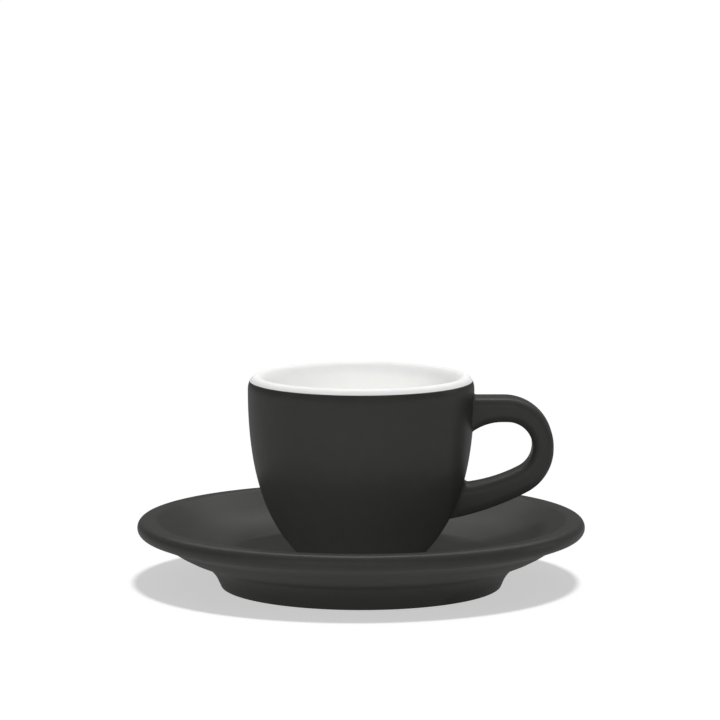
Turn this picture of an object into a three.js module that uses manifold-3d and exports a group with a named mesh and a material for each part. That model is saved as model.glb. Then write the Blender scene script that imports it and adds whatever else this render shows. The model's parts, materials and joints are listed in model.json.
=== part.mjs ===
// Espresso cup standing in its saucer, in millimetres, +Z up, with the handle along +X.
// The origin is the middle of the ring that the saucer stands on.
import * as THREE from "three";
import { mergeVertices } from "three/addons/utils/BufferGeometryUtils.js";
import Module from "manifold-3d";

// Saucer dish
const SAUCER_DIAMETER = 120;
const SAUCER_HEIGHT = 18.1;
const WELL_DIAMETER = 73;
const WELL_FLOOR_HEIGHT = 8.4;
const WELL_CORNER_RADIUS = 4;
const DISH_THICKNESS = 3.9;
const DISH_SAG = 1.4; // how far the wall hangs below a straight line from the well to the rim
const DISH_BEND_RADIUS = 30;
const RIM_WIDTH = 4.8; // level top of the rim, before its corners are rounded
const RIM_EDGE_RADIUS = 2.2;
const RIM_INNER_RADIUS = 2.5;
const RIM_UNDERSIDE_SLOPE = 20.7; // degrees above level
const RIM_UNDERSIDE_RADIUS = 3;

// Saucer foot
const SAUCER_FOOT_DIAMETER = 75.2;
const SAUCER_FOOT_WIDTH = 4.2;
const SAUCER_FOOT_LEAN = 23.5; // degrees off upright
const SAUCER_FOOT_FLARE_RADIUS = 9.5;
const SAUCER_FOOT_RING_HEIGHT = 1.6;
const SAUCER_RECESS_RADIUS = 1.5;

// Cup bowl
const CUP_DIAMETER = 60.6;
const CUP_HEIGHT = 48.3; // foot to lip
const CUP_BASE_DIAMETER = 35.1;
const CUP_BASE_FLARE = 42.9; // degrees off upright where the wall leaves the base
const CUP_BASE_PULL = 12.7; // how long the wall keeps the flare of the base
const CUP_UPRIGHT_PULL = 21.1; // how long the wall stays upright below the lip
const CUP_WALL_THICKNESS = 4.6;
const CUP_FLOOR_THICKNESS = 4.5;
const CUP_LIP_HEIGHT = 3.8; // rounded top of the wall
const CUP_FLOOR_CURVE_START = 0.18; // share of the wall's curve where the floor's rounding begins

// Cup foot and white lining
const CUP_FOOT_DIAMETER = 32.8;
const CUP_FOOT_WIDTH = 3.2;
const CUP_FOOT_HEIGHT = 0.8;
const FOOT_EDGE_CHAMFER = 0.3; // ground off both feet
const LINING_THICKNESS = 0.6;
const LINING_EDGE_ANGLE = 39; // degrees up the outside of the lip

// Handle
const HANDLE_DROP = 5.65; // lip down to the top of the handle
const HANDLE_PROJECTION = 21.15; // widest part of the cup out to the end of the handle
const HANDLE_OUTER_BEND_RADIUS = 13.25;
const HANDLE_BEND_STEP = 6.5; // radius of the outer bend down to that of the inner one
const HANDLE_END_STRAIGHT = 0.5; // upright run in the middle of the outer bend
const HANDLE_BEND_TURN = 152.5; // degrees
const HANDLE_TOP_THICKNESS = 6.6;
const HANDLE_SIDE_THICKNESS = 5.65;
const HANDLE_WIDTH = 11.2;
const HANDLE_EDGE_RADIUS = 2.4;
const HANDLE_TOP_FLARE_RADIUS = 13.5;
const HANDLE_TOP_FLARE_REACH = 7.4; // widest part of the cup out to where the flare ends
const HANDLE_TOP_FLARE_TURN = 45; // degrees
const HANDLE_LOWER_OUTER_RADIUS = 77;
const HANDLE_LOWER_INNER_RADIUS = 41;
const HANDLE_JOINT_GAP = 0.3; // layer of slip between the handle and the bowl

// Fineness of the facets
const TURN_STEPS = 48;
const ARC_STEP = 15; // degrees
const WALL_STEPS = 9;
const LIP_STEPS = 7;
const FLOOR_STEPS = 3;
const HANDLE_EDGE_STEPS = 4;

// Sizes that follow from these
const saucerRadius = SAUCER_DIAMETER / 2;
const saucerFootRadius = SAUCER_FOOT_DIAMETER / 2;
const recessRadius = saucerFootRadius - SAUCER_FOOT_WIDTH;
const footLeanRun = Math.tan(radians(SAUCER_FOOT_LEAN));
const footSeatRadius = saucerFootRadius + SAUCER_FOOT_RING_HEIGHT * footLeanRun;
const cupRadius = CUP_DIAMETER / 2;
const cupFootRadius = CUP_FOOT_DIAMETER / 2;
const lipRadius = cupRadius - CUP_WALL_THICKNESS / 2;
const lipBaseHeight = CUP_HEIGHT - CUP_LIP_HEIGHT;
const cupFloorHeight = CUP_FOOT_HEIGHT + CUP_FLOOR_THICKNESS;
const innerBendRadius = HANDLE_OUTER_BEND_RADIUS - HANDLE_BEND_STEP;

function radians(angle) {
  return THREE.MathUtils.degToRad(angle);
}

function degrees(angle) {
  return THREE.MathUtils.radToDeg(angle);
}

function vector(x, y) {
  return new THREE.Vector2(x, y);
}

// Unit vector at an angle above level, in degrees
function direction(angle) {
  return vector(Math.cos(radians(angle)), Math.sin(radians(angle)));
}

// A point moved along a direction
function along(point, way, distance) {
  return point.clone().addScaledVector(way, distance);
}

// The direction turned a quarter turn clockwise
function rightOf(way) {
  return vector(way.y, -way.x);
}

// Where two lines cross, each given by a point and a direction
function meet(pointA, wayA, pointB, wayB) {
  const between = pointB.clone().sub(pointA);
  return along(pointA, wayA, between.cross(wayB) / wayA.cross(wayB));
}

// Evenly spaced numbers from one value to another, both included
function spread(from, to, steps) {
  return Array.from({ length: steps + 1 }, (_, i) => from + ((to - from) * i) / steps);
}

// Points on an arc, from one angle to another in degrees
function arc(centre, radius, from, to) {
  const steps = Math.ceil(Math.abs(to - from) / ARC_STEP);
  return spread(from, to, steps).map((angle) => along(centre, direction(angle), radius));
}

// A line through corners of the form { at, radius }, each rounded by its radius.
// Two roundings that don't fit on the leg between them are made smaller together.
function roundedLine(corners) {
  const last = corners.length - 1;
  const ways = corners.slice(1).map((corner, i) => corner.at.clone().sub(corners[i].at).normalize());
  const turns = corners.map((_, i) => (i % last === 0 ? 0 : Math.acos(ways[i].dot(ways[i - 1]))));
  const wanted = corners.map((corner, i) => (corner.radius ?? 0) * Math.tan(turns[i] / 2));
  const fits = ways.map((_, i) => {
    const leg = corners[i].at.distanceTo(corners[i + 1].at);
    return leg / Math.max(leg, wanted[i] + wanted[i + 1]);
  });
  return corners.flatMap((corner, i) => {
    if (wanted[i] === 0) {
      return [corner.at];
    }
    const reach = wanted[i] * Math.min(fits[i - 1], fits[i]);
    return roundedCorner(corner.at, ways[i - 1], ways[i], turns[i], reach);
  });
}

// The arc that touches both legs of a corner at the given distance from it
function roundedCorner(at, wayIn, wayOut, turn, reach) {
  const radius = reach / Math.tan(turn / 2);
  const side = Math.sign(wayIn.cross(wayOut));
  const centre = along(along(at, wayIn, -reach), rightOf(wayIn), -side * radius);
  const start = degrees(rightOf(wayIn).multiplyScalar(side).angle());
  return arc(centre, radius, start, start + side * degrees(turn));
}

function darkGlaze() {
  return new THREE.MeshStandardMaterial({ color: 0x3b3d3b, roughness: 0.5, metalness: 0 });
}

function whiteGlaze() {
  return new THREE.MeshStandardMaterial({ color: 0xf2f2f0, roughness: 0.12, metalness: 0 });
}

function bareClay() {
  return new THREE.MeshStandardMaterial({ color: 0xcfc8bb, roughness: 0.9, metalness: 0 });
}

function namedMesh(name, geometry, material) {
  const mesh = new THREE.Mesh(geometry, material);
  mesh.name = name;
  return mesh;
}

// A profile of radius and height turned about the upright axis
function turned(profile) {
  return new THREE.LatheGeometry(profile, TURN_STEPS).rotateX(Math.PI / 2);
}

// The dish: flat well, rising wall and full round rim, with the stub that the foot ring sits under
function saucerDish() {
  const wellCorner = vector(WELL_DIAMETER / 2, WELL_FLOOR_HEIGHT);
  const rimCorner = vector(saucerRadius - RIM_WIDTH, SAUCER_HEIGHT);
  const chord = rimCorner.clone().sub(wellCorner);
  const middle = along(wellCorner, chord, 0.5);
  const bend = along(middle, rightOf(chord).normalize(), DISH_SAG);
  const lowerWay = bend.clone().sub(wellCorner).normalize();
  const upperWay = rimCorner.clone().sub(bend).normalize();

  const underWell = along(wellCorner, rightOf(lowerWay), DISH_THICKNESS);
  const underRim = along(rimCorner, rightOf(upperWay), DISH_THICKNESS);
  const underBend = meet(underWell, lowerWay, underRim, upperWay);
  const footWay = direction(90 - SAUCER_FOOT_LEAN);
  const footSeat = vector(footSeatRadius, SAUCER_FOOT_RING_HEIGHT);
  const footFlare = meet(footSeat, footWay, underWell, lowerWay);

  const edgeTop = vector(saucerRadius, SAUCER_HEIGHT);
  const edgeTurn = radians(90 - RIM_UNDERSIDE_SLOPE);
  const edgeBottom = along(edgeTop, direction(-90), RIM_EDGE_RADIUS * (1 + Math.tan(edgeTurn / 2)));
  const rimUnderside = meet(edgeBottom, direction(RIM_UNDERSIDE_SLOPE), underRim, upperWay);

  const ceiling = WELL_FLOOR_HEIGHT - DISH_THICKNESS;
  return turned(
    roundedLine([
      { at: vector(0, ceiling) },
      { at: vector(recessRadius, ceiling), radius: SAUCER_RECESS_RADIUS },
      { at: vector(recessRadius, SAUCER_FOOT_RING_HEIGHT) },
      { at: footSeat },
      { at: footFlare, radius: SAUCER_FOOT_FLARE_RADIUS },
      { at: underBend, radius: DISH_BEND_RADIUS + DISH_THICKNESS },
      { at: rimUnderside, radius: RIM_UNDERSIDE_RADIUS },
      { at: edgeBottom, radius: RIM_EDGE_RADIUS },
      { at: edgeTop, radius: RIM_EDGE_RADIUS },
      { at: rimCorner, radius: RIM_INNER_RADIUS },
      { at: bend, radius: DISH_BEND_RADIUS },
      { at: wellCorner, radius: WELL_CORNER_RADIUS },
      { at: vector(0, WELL_FLOOR_HEIGHT) },
    ]),
  );
}

// A standing ring that leans out from its ground edge to its seat
function footRing(innerRadius, outerRadius, seatRadius, height) {
  const outerWay = vector(seatRadius - outerRadius, height).normalize();
  const outerEdge = vector(outerRadius, 0);
  return turned([
    vector(innerRadius, height),
    vector(innerRadius, FOOT_EDGE_CHAMFER),
    vector(innerRadius + FOOT_EDGE_CHAMFER, 0),
    along(outerEdge, direction(180), FOOT_EDGE_CHAMFER),
    along(outerEdge, outerWay, FOOT_EDGE_CHAMFER),
    vector(seatRadius, height),
    vector(innerRadius, height),
  ]);
}

// The outside of the cup's wall, from the edge of the base to the foot of the lip
function cupWallCurve() {
  const base = vector(CUP_BASE_DIAMETER / 2, CUP_FOOT_HEIGHT);
  const top = vector(cupRadius, lipBaseHeight);
  const basePull = along(base, direction(90 - CUP_BASE_FLARE), CUP_BASE_PULL);
  const topPull = along(top, direction(-90), CUP_UPRIGHT_PULL);
  return new THREE.CubicBezierCurve(base, basePull, topPull, top);
}

// A point on the wall's curve, moved square to it towards the axis
function cupWallPoint(share, inset) {
  const curve = cupWallCurve();
  return along(curve.getPoint(share), rightOf(curve.getTangent(share)), -inset);
}

// A point on the half-oval lip, at a depth under its surface
function lipPoint(angle, depth) {
  const way = direction(angle);
  const acrossLip = (CUP_WALL_THICKNESS / 2 - depth) * way.x;
  const upLip = (CUP_LIP_HEIGHT - depth) * way.y;
  return vector(lipRadius + acrossLip, lipBaseHeight + upLip);
}

// The white side of the cup, from its edge outside the lip to the middle of the floor, at a depth under it
function liningLine(depth) {
  const lip = spread(LINING_EDGE_ANGLE, 180, LIP_STEPS).map((angle) => lipPoint(angle, depth));
  const inset = CUP_WALL_THICKNESS - depth;
  const wallShares = spread(1, CUP_FLOOR_CURVE_START, WALL_STEPS);
  const wall = wallShares.map((share) => cupWallPoint(share, inset));
  const wallEnd = wall.at(-1);
  const wallWay = cupWallCurve().getTangent(CUP_FLOOR_CURVE_START);
  const floorMiddle = vector(0, cupFloorHeight - depth);
  const floorCorner = meet(wallEnd, wallWay, floorMiddle, direction(0));
  const floorEnd = along(floorCorner, direction(180), floorCorner.distanceTo(wallEnd));
  const floor = new THREE.QuadraticBezierCurve(wallEnd, floorCorner, floorEnd).getPoints(FLOOR_STEPS);
  return [...lip, ...wall.slice(1), ...floor.slice(1), floorMiddle];
}

// The thick-walled bowl, with its lip and inside cut back to carry the lining
function cupBowl() {
  const wall = spread(0, 1, WALL_STEPS).map((share) => cupWallPoint(share, 0));
  const lipOutside = spread(0, LINING_EDGE_ANGLE, FLOOR_STEPS).map((angle) => lipPoint(angle, 0));
  const underside = vector(0, CUP_FOOT_HEIGHT);
  return turned([underside, ...wall, ...lipOutside.slice(1), ...liningLine(LINING_THICKNESS)]);
}

// The white glaze as a thin shell that ends in a clean edge outside the lip
function cupLining() {
  return turned([...liningLine(LINING_THICKNESS).reverse(), ...liningLine(0)]);
}

// The space that the bowl takes up, with the joint's gap around it
function cupSpace() {
  const wall = spread(0, 1, WALL_STEPS).map((share) => cupWallPoint(share, -HANDLE_JOINT_GAP));
  const top = vector(cupRadius + HANDLE_JOINT_GAP, CUP_HEIGHT);
  return turned([vector(0, wall[0].y), ...wall, top, vector(0, CUP_HEIGHT)]);
}

// The handle seen from the side, with both ends run on into the bowl
function handleOutline() {
  const top = CUP_HEIGHT - HANDLE_DROP;
  const end = cupRadius + HANDLE_PROJECTION;
  const root = CUP_BASE_DIAMETER / 2;
  const turnEnd = 90 - HANDLE_BEND_TURN;
  const innerTop = top - HANDLE_TOP_THICKNESS;
  const innerEnd = end - HANDLE_SIDE_THICKNESS;
  const flareCentre = vector(cupRadius + HANDLE_TOP_FLARE_REACH, innerTop - HANDLE_TOP_FLARE_RADIUS);
  const innerCentre = vector(innerEnd - innerBendRadius, innerTop - innerBendRadius);
  const upperCentre = vector(end - HANDLE_OUTER_BEND_RADIUS, top - HANDLE_OUTER_BEND_RADIUS);
  const lowerCentre = along(upperCentre, direction(-90), HANDLE_END_STRAIGHT);

  // Going on from the end of a bend into the bowl, on an arc of its own radius
  const lowerArm = (bendCentre, bendRadius, radius) => {
    const bendEnd = along(bendCentre, direction(turnEnd), bendRadius);
    const centre = along(bendEnd, direction(turnEnd), -radius);
    const turn = degrees((bendEnd.x - root) / radius);
    return arc(centre, radius, turnEnd, turnEnd - turn);
  };
  const outside = [
    vector(root, top),
    ...arc(upperCentre, HANDLE_OUTER_BEND_RADIUS, 90, 0),
    ...arc(lowerCentre, HANDLE_OUTER_BEND_RADIUS, 0, turnEnd),
    ...lowerArm(lowerCentre, HANDLE_OUTER_BEND_RADIUS, HANDLE_LOWER_OUTER_RADIUS).slice(1),
  ];
  const inside = [
    ...arc(flareCentre, HANDLE_TOP_FLARE_RADIUS, 90 + HANDLE_TOP_FLARE_TURN, 90),
    ...arc(innerCentre, innerBendRadius, 90, turnEnd),
    ...lowerArm(innerCentre, innerBendRadius, HANDLE_LOWER_INNER_RADIUS).slice(1),
  ];
  return new THREE.Shape([...outside, ...inside.reverse()]);
}

const wasm = await Module();
wasm.setup();

// A closed mesh as a solid that can be cut
function solidFrom(geometry) {
  const bare = geometry.clone();
  bare.deleteAttribute("normal");
  bare.deleteAttribute("uv");
  const merged = mergeVertices(bare);
  return new wasm.Manifold(
    new wasm.Mesh({
      numProp: 3,
      vertProperties: merged.attributes.position.array,
      triVerts: new Uint32Array(merged.index.array),
    }),
  );
}

function geometryFrom(solid) {
  const mesh = solid.getMesh();
  const geometry = new THREE.BufferGeometry();
  geometry.setAttribute("position", new THREE.BufferAttribute(mesh.vertProperties, 3));
  geometry.setIndex(new THREE.BufferAttribute(mesh.triVerts, 1));
  geometry.computeVertexNormals();
  return geometry;
}

// The handle: its outline with rounded edges, cut to the side of the bowl
function cupHandle() {
  const depth = HANDLE_WIDTH - 2 * HANDLE_EDGE_RADIUS;
  const band = new THREE.ExtrudeGeometry(handleOutline(), {
    depth,
    bevelThickness: HANDLE_EDGE_RADIUS,
    bevelSize: HANDLE_EDGE_RADIUS,
    bevelOffset: -HANDLE_EDGE_RADIUS,
    bevelSegments: HANDLE_EDGE_STEPS,
  });
  band.translate(0, 0, -depth / 2).rotateX(Math.PI / 2);
  return geometryFrom(solidFrom(band).subtract(solidFrom(cupSpace())));
}

const saucer = new THREE.Group();
saucer.add(
  namedMesh("saucer_dish", saucerDish(), darkGlaze()),
  namedMesh(
    "saucer_foot_ring",
    footRing(recessRadius, saucerFootRadius, footSeatRadius, SAUCER_FOOT_RING_HEIGHT),
    darkGlaze(),
  ),
);

const cup = new THREE.Group();
cup.position.z = WELL_FLOOR_HEIGHT;
cup.add(
  namedMesh("cup_bowl", cupBowl(), darkGlaze()),
  namedMesh(
    "cup_foot_ring",
    footRing(cupFootRadius - CUP_FOOT_WIDTH, cupFootRadius, cupFootRadius, CUP_FOOT_HEIGHT),
    bareClay(),
  ),
  namedMesh("cup_lining", cupLining(), whiteGlaze()),
  namedMesh("cup_handle", cupHandle(), darkGlaze()),
);

const cupAndSaucer = new THREE.Group();
cupAndSaucer.add(saucer, cup);

export default cupAndSaucer;
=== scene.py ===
"""An espresso cup standing in its saucer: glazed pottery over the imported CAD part, in metres, +Z up."""

import cmath
import json
import math

import bpy
import numpy as np
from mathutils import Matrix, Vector


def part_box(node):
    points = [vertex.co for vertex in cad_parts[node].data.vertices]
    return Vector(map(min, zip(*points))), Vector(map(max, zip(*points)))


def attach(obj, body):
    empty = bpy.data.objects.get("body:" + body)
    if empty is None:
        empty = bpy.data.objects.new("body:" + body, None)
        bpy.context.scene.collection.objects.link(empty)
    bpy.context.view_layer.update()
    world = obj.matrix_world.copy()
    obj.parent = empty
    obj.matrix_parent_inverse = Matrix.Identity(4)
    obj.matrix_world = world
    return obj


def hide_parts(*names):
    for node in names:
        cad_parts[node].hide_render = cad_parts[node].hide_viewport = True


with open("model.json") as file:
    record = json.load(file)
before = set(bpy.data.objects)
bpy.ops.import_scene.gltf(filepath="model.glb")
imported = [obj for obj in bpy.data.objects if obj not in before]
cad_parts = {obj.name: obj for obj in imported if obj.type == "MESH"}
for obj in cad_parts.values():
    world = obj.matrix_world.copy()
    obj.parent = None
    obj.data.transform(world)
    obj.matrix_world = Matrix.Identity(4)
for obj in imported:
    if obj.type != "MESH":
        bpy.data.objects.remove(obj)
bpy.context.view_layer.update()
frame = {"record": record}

# Saucer, beside the sizes that the CAD boxes give
WELL_RADIUS = 0.0365
WELL_CORNER_RADIUS = 0.004
DISH_THICKNESS = 0.0039
DISH_SAG = 0.0014  # how far the wall hangs below a straight line from the well to the rim
DISH_BEND_RADIUS = 0.030
RIM_WIDTH = 0.0048
RIM_EDGE_RADIUS = 0.0022
RIM_INNER_RADIUS = 0.0025
RIM_UNDERSIDE_SLOPE = 20.7  # degrees above level
RIM_UNDERSIDE_RADIUS = 0.003
SAUCER_FOOT_LEAN = 23.5  # degrees off upright
SAUCER_FOOT_WIDTH = 0.0042
SAUCER_FOOT_FLARE_RADIUS = 0.0095
SAUCER_RECESS_RADIUS = 0.0015

# Cup
CUP_BASE_RADIUS = 0.01755
CUP_BASE_FLARE = 42.9  # degrees off upright where the wall leaves the base
CUP_BASE_PULL = 0.0127
CUP_UPRIGHT_PULL = 0.0211
CUP_WALL_THICKNESS = 0.0046
CUP_FLOOR_THICKNESS = 0.0045
CUP_FLOOR_CURVE_START = 0.18  # share of the wall's curve where the floor's rounding begins
CUP_LIP_HEIGHT = 0.0038
CUP_LIP_CROWN = 0.00006  # the smooth lip's crest above the faceted one
CUP_FOOT_WIDTH = 0.0032
LINING_THICKNESS = 0.0006
LINING_EDGE_ANGLE = 39  # degrees up the outside of the lip
LINING_PROUD = 0.00004  # the white glaze stands on the dark one
FOOT_EDGE_RADIUS = 0.0003  # both feet are ground and softened

# Handle
HANDLE_TOP_THICKNESS = 0.0066
HANDLE_SIDE_THICKNESS = 0.00565
HANDLE_OUTER_BEND_RADIUS = 0.01325
HANDLE_BEND_STEP = 0.0065  # radius of the outer bend down to that of the inner one
HANDLE_END_STRAIGHT = 0.0005  # upright run in the middle of the outer bend
HANDLE_BEND_TURN = 152.5  # degrees
HANDLE_EDGE_RADIUS = 0.0024
HANDLE_TOP_FLARE_RADIUS = 0.0135
HANDLE_TOP_FLARE_REACH = 0.0074  # widest part of the cup out to where the flare ends
HANDLE_LOWER_OUTER_RADIUS = 0.077
HANDLE_LOWER_INNER_RADIUS = 0.041
HANDLE_TOP_FILLETS = (0.0003, 0.0008)  # slip in the corners with the bowl, inside and outside the loop
HANDLE_LOWER_FILLETS = (0.0012, 0.0004)
HANDLE_ROOT_DEPTH = 0.0005  # how far the ends reach into the bowl

# Fineness of the meshes
TURN_STEPS = 192
ARC_STEP = 6  # degrees
WALL_STEPS = 40
HANDLE_STEPS = 120
FILLET_STEPS = 8
SHARP_ANGLE = math.radians(40)
ON_AXIS = 1e-9  # a radius below this is a point on the axis

# Camera at the photograph's viewing angle
CAMERA_PLACE = (-0.00029, -1.12987, 0.20923)
CAMERA_TILT = 7.487  # degrees below level
CAMERA_LENS = 213.4  # millimetres
CAMERA_SENSOR_WIDTH = 36  # millimetres

# Key lamp: light on a sheet that faces it (1 makes white white), width in degrees, and the way to it
KEY_LAMP = (0.44, 8.5, (0.095, -0.3, 1))

# Fill lamps: the nodes that each one lights, then the same three values
BOWL_NODES = ("cup_bowl", "cup_foot_ring")
OTHER_NODES = ("saucer_dish", "saucer_foot_ring", "cup_lining", "cup_handle")
ALL_NODES = BOWL_NODES + OTHER_NODES
FILL_LAMPS = {
    "overhead": (ALL_NODES, 0.25, 16, (0, 0.47, 1)),
    "back_left": (ALL_NODES, 0.19, 30, (-0.42, 0.76, 1)),
    "back_right": (ALL_NODES, 0.19, 30, (0.42, 0.76, 1)),
    "right": (ALL_NODES, 0.07, 20, (0.95, 0.3, 0.24)),
    "front": (OTHER_NODES, 0.5, 90, (-0.2, -0.95, -0.2)),
    "low_front": (BOWL_NODES, 0.53, 36, (-0.3, -0.95, -0.9)),
}
UNMIRRORED_LAMPS = ("key", "low_front")  # these make no highlights

# Floor and surroundings
AMBIENT_LIGHT = 0.09
BACKDROP_GLOW = 0.3  # the surroundings where they are seen or mirrored
FLOOR_COLOUR = 0.95
FLOOR_GLOW = 0.54  # added where the floor is seen, which keeps the shadow pale
FLOOR_RADIUS = 6.0

# Sizes that the CAD boxes give
saucer_low, saucer_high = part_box("saucer_dish")
saucer_seat_low, saucer_seat_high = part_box("saucer_foot_ring")
bowl_low, bowl_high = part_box("cup_bowl")
cup_foot_low, cup_foot_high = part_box("cup_foot_ring")
lining_low, lining_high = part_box("cup_lining")
handle_low, handle_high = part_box("cup_handle")

foot_lean_run = math.tan(math.radians(SAUCER_FOOT_LEAN))
saucer_seat_height = saucer_low.z
saucer_foot_radius = saucer_seat_high.x - saucer_seat_height * foot_lean_run
recess_radius = saucer_foot_radius - SAUCER_FOOT_WIDTH
well_height = cup_foot_low.z
cup_radius = bowl_high.x
cup_seat_height = bowl_low.z
lip_base_height = lining_high.z + CUP_LIP_CROWN - CUP_LIP_HEIGHT


# Flat geometry: a point is a complex number, radius + height * 1j


def direction(angle):
    """Unit vector at an angle above level, in degrees."""
    return cmath.rect(1, math.radians(angle))


def cross(a, b):
    return (a.conjugate() * b).imag


def meet(point_a, way_a, point_b, way_b):
    """Where two lines cross, each given by a point and a direction."""
    return point_a + way_a * cross(point_b - point_a, way_b) / cross(way_a, way_b)


def unit(way):
    return way / abs(way)


def arc(centre, radius, start, end):
    """Points on an arc, from one angle to another in degrees."""
    steps = math.ceil(abs(end - start) / ARC_STEP)
    return [centre + radius * direction(angle) for angle in np.linspace(start, end, steps + 1)]


def rounded_line(*corners):
    """A line through (point, rounding radius) corners. The first and last stay sharp."""
    line = [corners[0][0]]
    for (before, _), (at, radius), (after, _) in zip(corners, corners[1:], corners[2:]):
        way_in = unit(at - before)
        turn = cmath.phase(unit(after - at) / way_in)
        if radius == 0:
            line.append(at)
            continue
        side = math.copysign(1, turn)
        touch = at - way_in * radius * math.tan(abs(turn) / 2)
        start = math.degrees(cmath.phase(-1j * side * way_in))
        line += arc(touch + 1j * side * way_in * radius, radius, start, start + math.degrees(turn))
    return [*line, corners[-1][0]]


def bezier(share, *points):
    """A point on the curve that these points pull."""
    while len(points) > 1:
        points = [a + (b - a) * share for a, b in zip(points, points[1:])]
    return points[0]


# Outlines of the saucer and cup


def saucer_line():
    """The dish from the middle of its underside, round the rim, to the middle of the well."""
    well_corner = complex(WELL_RADIUS, well_height)
    rim_corner = complex(saucer_high.x - RIM_WIDTH, saucer_high.z)
    bend = (well_corner + rim_corner) / 2 - 1j * unit(rim_corner - well_corner) * DISH_SAG
    lower_way = unit(bend - well_corner)
    upper_way = unit(rim_corner - bend)

    under_well = well_corner - 1j * lower_way * DISH_THICKNESS
    under_rim = rim_corner - 1j * upper_way * DISH_THICKNESS
    under_bend = meet(under_well, lower_way, under_rim, upper_way)
    foot_seat = complex(saucer_seat_high.x, saucer_seat_height)
    foot_flare = meet(foot_seat, direction(90 - SAUCER_FOOT_LEAN), under_well, lower_way)

    edge_top = complex(saucer_high.x, saucer_high.z)
    edge_turn = math.radians(90 - RIM_UNDERSIDE_SLOPE)
    edge_bottom = edge_top - 1j * RIM_EDGE_RADIUS * (1 + math.tan(edge_turn / 2))
    rim_underside = meet(edge_bottom, direction(RIM_UNDERSIDE_SLOPE), under_rim, upper_way)

    ceiling = well_height - DISH_THICKNESS
    return rounded_line(
        (complex(0, ceiling), 0),
        (complex(recess_radius, ceiling), SAUCER_RECESS_RADIUS),
        (complex(recess_radius, saucer_seat_height), 0),
        (foot_seat, 0),
        (foot_flare, SAUCER_FOOT_FLARE_RADIUS),
        (under_bend, DISH_BEND_RADIUS + DISH_THICKNESS),
        (rim_underside, RIM_UNDERSIDE_RADIUS),
        (edge_bottom, RIM_EDGE_RADIUS),
        (edge_top, RIM_EDGE_RADIUS),
        (rim_corner, RIM_INNER_RADIUS),
        (bend, DISH_BEND_RADIUS),
        (well_corner, WELL_CORNER_RADIUS),
        (complex(0, well_height), 0),
    )


def wall_pulls():
    """The four points that pull the outside of the cup's wall, from the base to the foot of the lip."""
    base = complex(CUP_BASE_RADIUS, cup_seat_height)
    top = complex(cup_radius, lip_base_height)
    return base, base + direction(90 - CUP_BASE_FLARE) * CUP_BASE_PULL, top - 1j * CUP_UPRIGHT_PULL, top


def wall_way(share):
    """The direction of the wall's curve, upwards."""
    pulls = wall_pulls()
    return unit(bezier(share, *(b - a for a, b in zip(pulls, pulls[1:]))))


def wall_point(share, inset):
    """A point on the wall's curve, moved square to it towards the axis."""
    return bezier(share, *wall_pulls()) + 1j * wall_way(share) * inset


def lip_point(angle, depth):
    """A point on the half-oval lip, at a depth under its surface."""
    way = direction(angle)
    across = (CUP_WALL_THICKNESS / 2 - depth) * way.real
    up = (CUP_LIP_HEIGHT - depth) * way.imag
    return complex(cup_radius - CUP_WALL_THICKNESS / 2 + across, lip_base_height + up)


def lip_line(start, end, depth):
    steps = math.ceil(abs(end - start) / ARC_STEP)
    return [lip_point(angle, depth) for angle in np.linspace(start, end, steps + 1)]


def lining_line(depth):
    """The white side of the cup, from its edge outside the lip to the middle of the floor."""
    inset = CUP_WALL_THICKNESS - depth
    wall = [wall_point(share, inset) for share in np.linspace(1, CUP_FLOOR_CURVE_START, WALL_STEPS)]
    floor_middle = complex(0, cup_seat_height + CUP_FLOOR_THICKNESS - depth)
    floor_corner = meet(wall[-1], wall_way(CUP_FLOOR_CURVE_START), floor_middle, direction(0))
    floor_end = floor_corner - abs(floor_corner - wall[-1])
    shares = np.linspace(0, 1, WALL_STEPS // 2)
    floor = [bezier(share, wall[-1], floor_corner, floor_end) for share in shares]
    return [*lip_line(LINING_EDGE_ANGLE, 180, depth), *wall[1:], *floor[1:], floor_middle]


def bowl_line():
    """The outside of the bowl from the middle of its underside, and back along the seat of the lining."""
    wall = [wall_point(share, 0) for share in np.linspace(0, 1, WALL_STEPS)]
    lip = lip_line(0, LINING_EDGE_ANGLE, 0)
    return [complex(0, cup_seat_height), *wall, *lip[1:], *lining_line(LINING_THICKNESS)]


# Meshes


def new_piece(name, points, faces, materials, material_indices=None):
    """A smooth mesh object. Edges that turn by more than the sharp angle stay sharp."""
    mesh = bpy.data.meshes.new(name)
    mesh.from_pydata(points, [], faces)
    for material in materials:
        mesh.materials.append(material)
    if material_indices:
        mesh.polygons.foreach_set("material_index", material_indices)
    mesh.shade_smooth()
    mesh.set_sharp_from_angle(angle=SHARP_ANGLE)
    mesh.validate()
    piece = bpy.data.objects.new(name, mesh)
    bpy.context.scene.collection.objects.link(piece)
    return piece


def turned(name, *finished_lines):
    """A piece turned about the upright axis from (line, material) pairs that run on from each other."""
    points = []
    faces = []
    material_indices = []
    rings = []
    for index, (line, _) in enumerate(finished_lines):
        for place in line if index == 0 else line[1:]:
            count = 1 if place.real < ON_AXIS else TURN_STEPS
            rings.append(range(len(points), len(points) + count))
            angles = np.arange(count) * math.tau / TURN_STEPS
            points += [(place.real * math.cos(a), place.real * math.sin(a), place.imag) for a in angles]
            if len(rings) > 1:
                new_faces = band(rings[-2], rings[-1])
                faces += new_faces
                material_indices += [index] * len(new_faces)
    return new_piece(name, points, faces, [material for _, material in finished_lines], material_indices)


def band(ring_a, ring_b):
    """The faces between two rings of points, either of which may be a single point on the axis."""
    faces = []
    for i in range(max(len(ring_a), len(ring_b))):
        j = i + 1
        corners = [
            ring_a[i % len(ring_a)],
            ring_a[j % len(ring_a)],
            ring_b[j % len(ring_b)],
            ring_b[i % len(ring_b)],
        ]
        faces.append(list(dict.fromkeys(corners)))
    return faces


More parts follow.
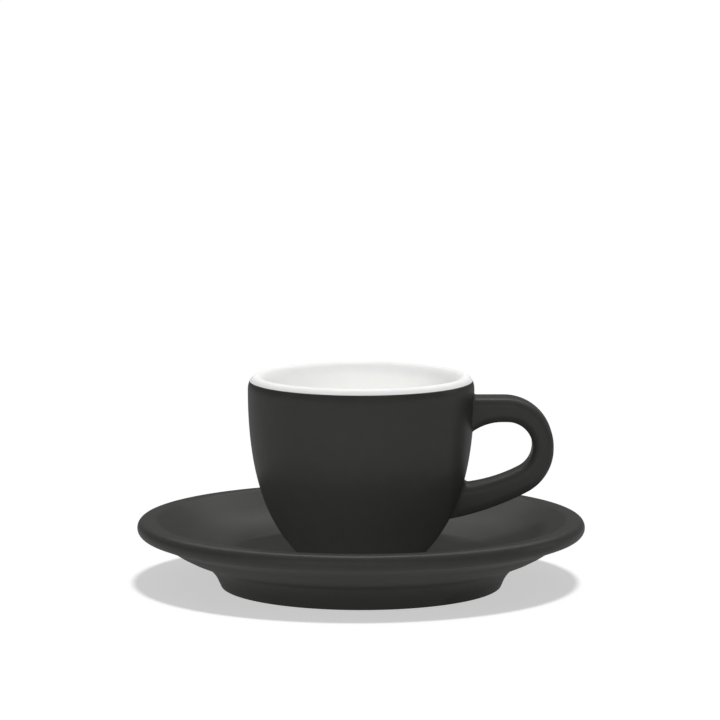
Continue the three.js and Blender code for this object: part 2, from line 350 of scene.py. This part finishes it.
def foot_ring(name, inner, outer, seat, low, high, sides, ground):
    """A standing ring in one material, with its ground underside in another and its edges softened."""
    top_in = complex(inner, high)
    middle = complex((inner + outer) / 2, low)
    inner_edge = (complex(inner, low), FOOT_EDGE_RADIUS)
    outer_edge = (complex(outer, low), FOOT_EDGE_RADIUS)
    inside = rounded_line((top_in, 0), inner_edge, (middle, 0))[:-1]
    outside = rounded_line((middle, 0), outer_edge, (complex(seat, high), 0))[1:]
    return turned(name, (inside, sides), ([inside[-1], outside[0]], ground), ([*outside, top_in], sides))


def handle_section():
    """Corner signs and outward directions of the points round the handle's rounded-band section."""
    quarters = [(1, 1), (-1, 1), (-1, -1), (1, -1)]
    steps = round(90 / ARC_STEP)
    signs = np.repeat(quarters, steps + 1, axis=0)
    angles = np.concatenate([np.linspace(90 * q, 90 * q + 90, steps + 1) for q in range(4)])
    outward = np.column_stack([np.cos(np.radians(angles)), np.sin(np.radians(angles))])
    return signs, outward


def handle_lines():
    """The outer and inner line of the handle from the side, running into the bowl at both ends."""
    top = handle_high.z
    end = handle_high.x
    inner_top = top - HANDLE_TOP_THICKNESS
    inner_end = end - HANDLE_SIDE_THICKNESS
    root = cup_radius - CUP_WALL_THICKNESS / 2
    flare_centre = complex(cup_radius + HANDLE_TOP_FLARE_REACH, inner_top - HANDLE_TOP_FLARE_RADIUS)
    inner_radius = HANDLE_OUTER_BEND_RADIUS - HANDLE_BEND_STEP
    inner_centre = complex(inner_end - inner_radius, inner_top - inner_radius)
    upper_centre = complex(end - HANDLE_OUTER_BEND_RADIUS, top - HANDLE_OUTER_BEND_RADIUS)
    lower_centre = upper_centre - 1j * HANDLE_END_STRAIGHT
    shares = np.linspace(0, 1, HANDLE_STEPS)

    outer_top = [complex(root + (upper_centre.real - root) * share, top) for share in shares]
    inner_top_line = []
    for share in shares:
        x = root + (inner_centre.real - root) * share
        run = min(0, x - flare_centre.real)
        rise = math.sqrt(HANDLE_TOP_FLARE_RADIUS**2 - run**2)
        inner_top_line.append(complex(x, flare_centre.imag + rise))

    def bend_and_arm(upper, lower, bend_radius, arm_radius):
        """The bend round the finger gap, and the arm from it down into the bowl."""
        angles = 90 - HANDLE_BEND_TURN * shares
        bend = [(upper if angle > 0 else lower) + bend_radius * direction(angle) for angle in angles]
        arm_centre = bend[-1] - arm_radius * direction(angles[-1])
        arm_turn = math.degrees((bend[-1].real - CUP_BASE_RADIUS) / arm_radius)
        arm = [arm_centre + arm_radius * direction(angles[-1] - arm_turn * share) for share in shares]
        return bend[1:] + arm[1:]

    outer = outer_top + bend_and_arm(
        upper_centre, lower_centre, HANDLE_OUTER_BEND_RADIUS, HANDLE_LOWER_OUTER_RADIUS
    )
    inner = inner_top_line + bend_and_arm(
        inner_centre, inner_centre, inner_radius, HANDLE_LOWER_INNER_RADIUS
    )
    return np.array(outer), np.array(inner)


def bowl_clearance(points):
    """How far points stand off the bowl's outside, and the bowl's outward direction there."""
    shares = np.linspace(0, 1, 4 * WALL_STEPS)
    wall = np.array([wall_point(share, 0) for share in shares])
    ways = np.array([wall_way(share) for share in shares])
    height = points[:, 2]
    way_out = np.interp(height, wall.imag, ways.imag)
    way_up = -np.interp(height, wall.imag, ways.real)
    radius = np.hypot(points[:, 0], points[:, 1])
    clearance = (radius - np.interp(height, wall.imag, wall.real)) * way_out
    flat = points[:, :2] / radius[:, None] * way_out[:, None]
    return clearance, np.column_stack([flat, way_up])


def at_step(line, step):
    """The point at a step along a line of points, which may lie between two of them."""
    return np.array([np.interp(step, np.arange(len(line)), column) for column in line.T])


def rooted_end(line, normals, radius):
    """A fillet from inside the bowl to a line that leaves it, and the step where it meets the line."""
    clearance, bowl_ways = bowl_clearance(line)
    touch = np.searchsorted(clearance, 0)
    turn = math.acos(normals[touch] @ bowl_ways[touch])
    points = []
    for swing in np.linspace(0, turn, FILLET_STEPS):
        raised = line + normals * radius * (1 - math.cos(turn - swing))
        clearance, _ = bowl_clearance(raised)
        step = np.interp(radius * (1 - math.cos(swing)), clearance, np.arange(len(line)))
        points.append(at_step(raised, step))
    return [points[0] - bowl_ways[touch] * HANDLE_ROOT_DEPTH, *points], step


def handle(name, material):
    """The handle as lines run along it, each with a fillet where it meets the bowl."""
    outer, inner = handle_lines()
    middle = (outer + inner) / 2
    across = (outer - inner) / abs(outer - inner)
    half_thickness = abs(outer - inner) / 2
    half_width = handle_high.y
    last = len(outer) - 1
    third = last // 3

    lines = []
    for sign, outward in zip(*handle_section()):
        lift = sign[0] * (half_thickness - HANDLE_EDGE_RADIUS) + HANDLE_EDGE_RADIUS * outward[0]
        side = sign[1] * (half_width - HANDLE_EDGE_RADIUS) + HANDLE_EDGE_RADIUS * outward[1]
        flat = middle + across * lift
        flat_normal = across * outward[0]
        line = np.column_stack([flat.real, np.full(last + 1, side), flat.imag])
        normals = np.column_stack([flat_normal.real, np.full(last + 1, outward[1]), flat_normal.imag])

        outside = (1 + outward[0]) / 2
        top_fillet = np.interp(outside, (0, 1), HANDLE_TOP_FILLETS)
        lower_fillet = np.interp(outside, (0, 1), HANDLE_LOWER_FILLETS)
        top_end, top_step = rooted_end(line[:third], normals[:third], top_fillet)
        lower_end, lower_step = rooted_end(line[:-third:-1], normals[:-third:-1], lower_fillet)
        free_steps = np.linspace(top_step, last - lower_step, HANDLE_STEPS)[1:-1]
        lines.append([*top_end, *(at_step(line, step) for step in free_steps), *lower_end[::-1]])

    points = np.array(lines).transpose(1, 0, 2)
    around = points.shape[1]
    rings = [range(i * around, (i + 1) * around) for i in range(len(points))]
    faces = [face for a, b in zip(rings, rings[1:]) for face in band(b, a)]
    faces += [list(rings[0]), list(reversed(rings[-1]))]
    return new_piece(name, points.reshape(-1, 3).tolist(), faces, [material])


# Materials

NOISE_MIDDLE = (0.3, 0.7)  # most values of the noise lie between these


def add_node(tree, kind, inputs, **settings):
    """A shader node with its settings, and with each input set to a value or linked to an output."""
    node = tree.nodes.new(kind)
    for name, value in settings.items():
        setattr(node, name, value)
    for name, value in inputs.items():
        if isinstance(value, bpy.types.NodeSocket):
            tree.links.new(value, node.inputs[name])
        else:
            node.inputs[name].default_value = value
    return node


def noise(tree, size, detail):
    """Cloudy noise with blotches of about this size, fixed to the piece."""
    place = add_node(tree, "ShaderNodeTexCoord", {}).outputs["Object"]
    return add_node(
        tree, "ShaderNodeTexNoise", {"Vector": place, "Scale": 1 / size, "Detail": detail}
    ).outputs["Fac"]


def between(tree, share, low, high):
    """A number that goes from low to high with the noise's middle range."""
    start, end = NOISE_MIDDLE
    inputs = {"Value": share, "From Min": start, "From Max": end, "To Min": low, "To Max": high}
    return add_node(tree, "ShaderNodeMapRange", inputs).outputs["Result"]


def shaded(tree, share, dark, light):
    """A colour that goes from dark to light with the noise's middle range."""
    node = add_node(tree, "ShaderNodeValToRGB", {"Fac": share})
    for element, position, colour in zip(node.color_ramp.elements, NOISE_MIDDLE, (dark, light)):
        element.position = position
        element.color = (*colour, 1)
    return node.outputs["Color"]


def ceramic(name, dark, light, roughness, gloss, blotch, ripple, ripple_depth):
    """A fired surface of drifting colour and roughness, with fine ripples and a share of gloss."""
    material = bpy.data.materials.new(name)
    material.use_nodes = True
    tree = material.node_tree
    cloud = noise(tree, blotch, detail=3)
    height = noise(tree, ripple, detail=2)
    bump = add_node(tree, "ShaderNodeBump", {"Height": height, "Strength": 1.0, "Distance": ripple_depth})
    shader = tree.nodes["Principled BSDF"]
    tree.links.new(shaded(tree, cloud, dark, light), shader.inputs["Base Color"])
    tree.links.new(between(tree, cloud, *roughness), shader.inputs["Roughness"])
    tree.links.new(bump.outputs["Normal"], shader.inputs["Normal"])
    tree.links.new(bump.outputs["Normal"], shader.inputs["Coat Normal"])
    # The coat alone mirrors: its reflections grow less towards the edges than those of a weak base do.
    # Viewers that show no coat use the base's roughness.
    shader.inputs["Specular IOR Level"].default_value = 0
    shader.inputs["Coat Weight"].default_value = gloss
    shader.inputs["Coat Roughness"].default_value = sum(roughness) / 2
    return material


dark_glaze = ceramic(
    "dark_glaze",
    dark=(0.0374, 0.0382, 0.0358),
    light=(0.0406, 0.0414, 0.0387),
    roughness=(0.36, 0.40),
    gloss=0.28,
    blotch=0.004,
    ripple=0.0007,
    ripple_depth=0.000002,
)
white_glaze = ceramic(
    "white_glaze",
    dark=(0.935, 0.935, 0.923),
    light=(0.955, 0.955, 0.945),
    roughness=(0.14, 0.18),
    gloss=0.15,
    blotch=0.006,
    ripple=0.0015,
    ripple_depth=0.000001,
)
bare_clay = ceramic(
    "bare_clay",
    dark=(0.42, 0.38, 0.31),
    light=(0.60, 0.56, 0.48),
    roughness=(0.80, 0.95),
    gloss=0.5,
    blotch=0.0008,
    ripple=0.0003,
    ripple_depth=0.00002,
)

# Pieces, by the CAD node that each stands for
pieces = {
    "saucer_dish": turned("saucer_dish_glazed", (saucer_line(), dark_glaze)),
    "saucer_foot_ring": foot_ring(
        "saucer_foot_ring_ground",
        inner=recess_radius,
        outer=saucer_foot_radius,
        seat=saucer_seat_high.x,
        low=saucer_seat_low.z,
        high=saucer_seat_height,
        sides=dark_glaze,
        ground=bare_clay,
    ),
    "cup_bowl": turned("cup_bowl_glazed", (bowl_line(), dark_glaze)),
    "cup_foot_ring": foot_ring(
        "cup_foot_ring_ground",
        inner=cup_foot_high.x - CUP_FOOT_WIDTH,
        outer=cup_foot_high.x,
        seat=cup_foot_high.x,
        low=cup_foot_low.z,
        high=cup_seat_height,
        sides=bare_clay,
        ground=bare_clay,
    ),
    "cup_lining": turned(
        "cup_lining_glazed",
        (lining_line(LINING_THICKNESS)[::-1] + lining_line(-LINING_PROUD), white_glaze),
    ),
    "cup_handle": handle("cup_handle_glazed", dark_glaze),
}
for body, nodes in frame["record"]["behaviour"]["bodies"].items():
    for node in nodes:
        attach(pieces[node], body)
        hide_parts(node)


# Floor, light and camera


def seen_directly(tree):
    """1 for rays from the camera, a reflection or glass, and 0 for the light that falls on things."""
    path = add_node(tree, "ShaderNodeLightPath", {})
    mirrored = add_node(
        tree,
        "ShaderNodeMath",
        {0: path.outputs["Is Glossy Ray"], 1: path.outputs["Is Transmission Ray"]},
        operation="MAXIMUM",
    )
    return add_node(
        tree,
        "ShaderNodeMath",
        {0: path.outputs["Is Camera Ray"], 1: mirrored.outputs["Value"]},
        operation="MAXIMUM",
    ).outputs["Value"]


def switched(tree, switch, off, on):
    """The number off where the switch is 0, and on where it is 1."""
    inputs = {"Value": switch, "To Min": off, "To Max": on}
    return add_node(tree, "ShaderNodeMapRange", inputs).outputs["Result"]


def make_floor():
    """A white floor that shows the shadow of the key light only as a soft grey."""
    angles = np.arange(TURN_STEPS) * math.tau / TURN_STEPS
    points = [(FLOOR_RADIUS * math.cos(a), FLOOR_RADIUS * math.sin(a), 0) for a in angles]
    material = bpy.data.materials.new("floor_paper")
    material.use_nodes = True
    tree = material.node_tree
    tree.nodes.remove(tree.nodes["Principled BSDF"])
    paper = add_node(tree, "ShaderNodeBsdfDiffuse", {"Color": (FLOOR_COLOUR,) * 3 + (1,)})
    strength = switched(tree, seen_directly(tree), 0, FLOOR_GLOW)
    glow = add_node(tree, "ShaderNodeEmission", {"Strength": strength})
    both = add_node(tree, "ShaderNodeAddShader", {0: paper.outputs["BSDF"], 1: glow.outputs["Emission"]})
    tree.links.new(both.outputs["Shader"], tree.nodes["Material Output"].inputs["Surface"])
    floor = new_piece("floor", points, [range(TURN_STEPS)], [material])


def make_world():
    """An even dim light from all round, which is brighter where it is seen or mirrored."""
    world = bpy.data.worlds.new("studio")
    world.use_nodes = True
    bpy.context.scene.world = world
    tree = world.node_tree
    background = tree.nodes["Background"]
    background.inputs["Color"].default_value = (1, 1, 1, 1)
    strength = switched(tree, seen_directly(tree), AMBIENT_LIGHT, BACKDROP_GLOW)
    tree.links.new(strength, background.inputs["Strength"])


def make_lamp(name, share, size, way):
    """A soft round lamp far away, which lights evenly."""
    light = bpy.data.lights.new(name, "SUN")
    light.energy = share * math.pi
    light.angle = math.radians(size)
    lamp = bpy.data.objects.new(name, light)
    lamp.visible_glossy = name not in UNMIRRORED_LAMPS
    lamp.rotation_euler = Vector(way).to_track_quat("Z", "Y").to_euler()
    bpy.context.scene.collection.objects.link(lamp)
    return lamp


def make_lamps():
    """A key lamp that casts the shadow, and fill lamps that fall on their own nodes alone."""
    make_lamp("key", *KEY_LAMP)
    for name, (lit_nodes, *settings) in FILL_LAMPS.items():
        lit = bpy.data.collections.new(f"lit_by_{name}")
        for node in lit_nodes:
            lit.objects.link(pieces[node])
        lamp = make_lamp(name, *settings)
        lamp.data.use_shadow = False
        lamp.light_linking.receiver_collection = lit


def make_camera():
    data = bpy.data.cameras.new("camera")
    data.lens = CAMERA_LENS
    data.sensor_width = CAMERA_SENSOR_WIDTH
    camera = bpy.data.objects.new("camera", data)
    camera.location = CAMERA_PLACE
    camera.rotation_euler = (math.radians(90 - CAMERA_TILT), 0, 0)
    bpy.context.scene.collection.objects.link(camera)
    bpy.context.scene.camera = camera


make_floor()
make_world()
make_lamps()
make_camera()
bpy.context.scene.view_settings.view_transform = "Standard"
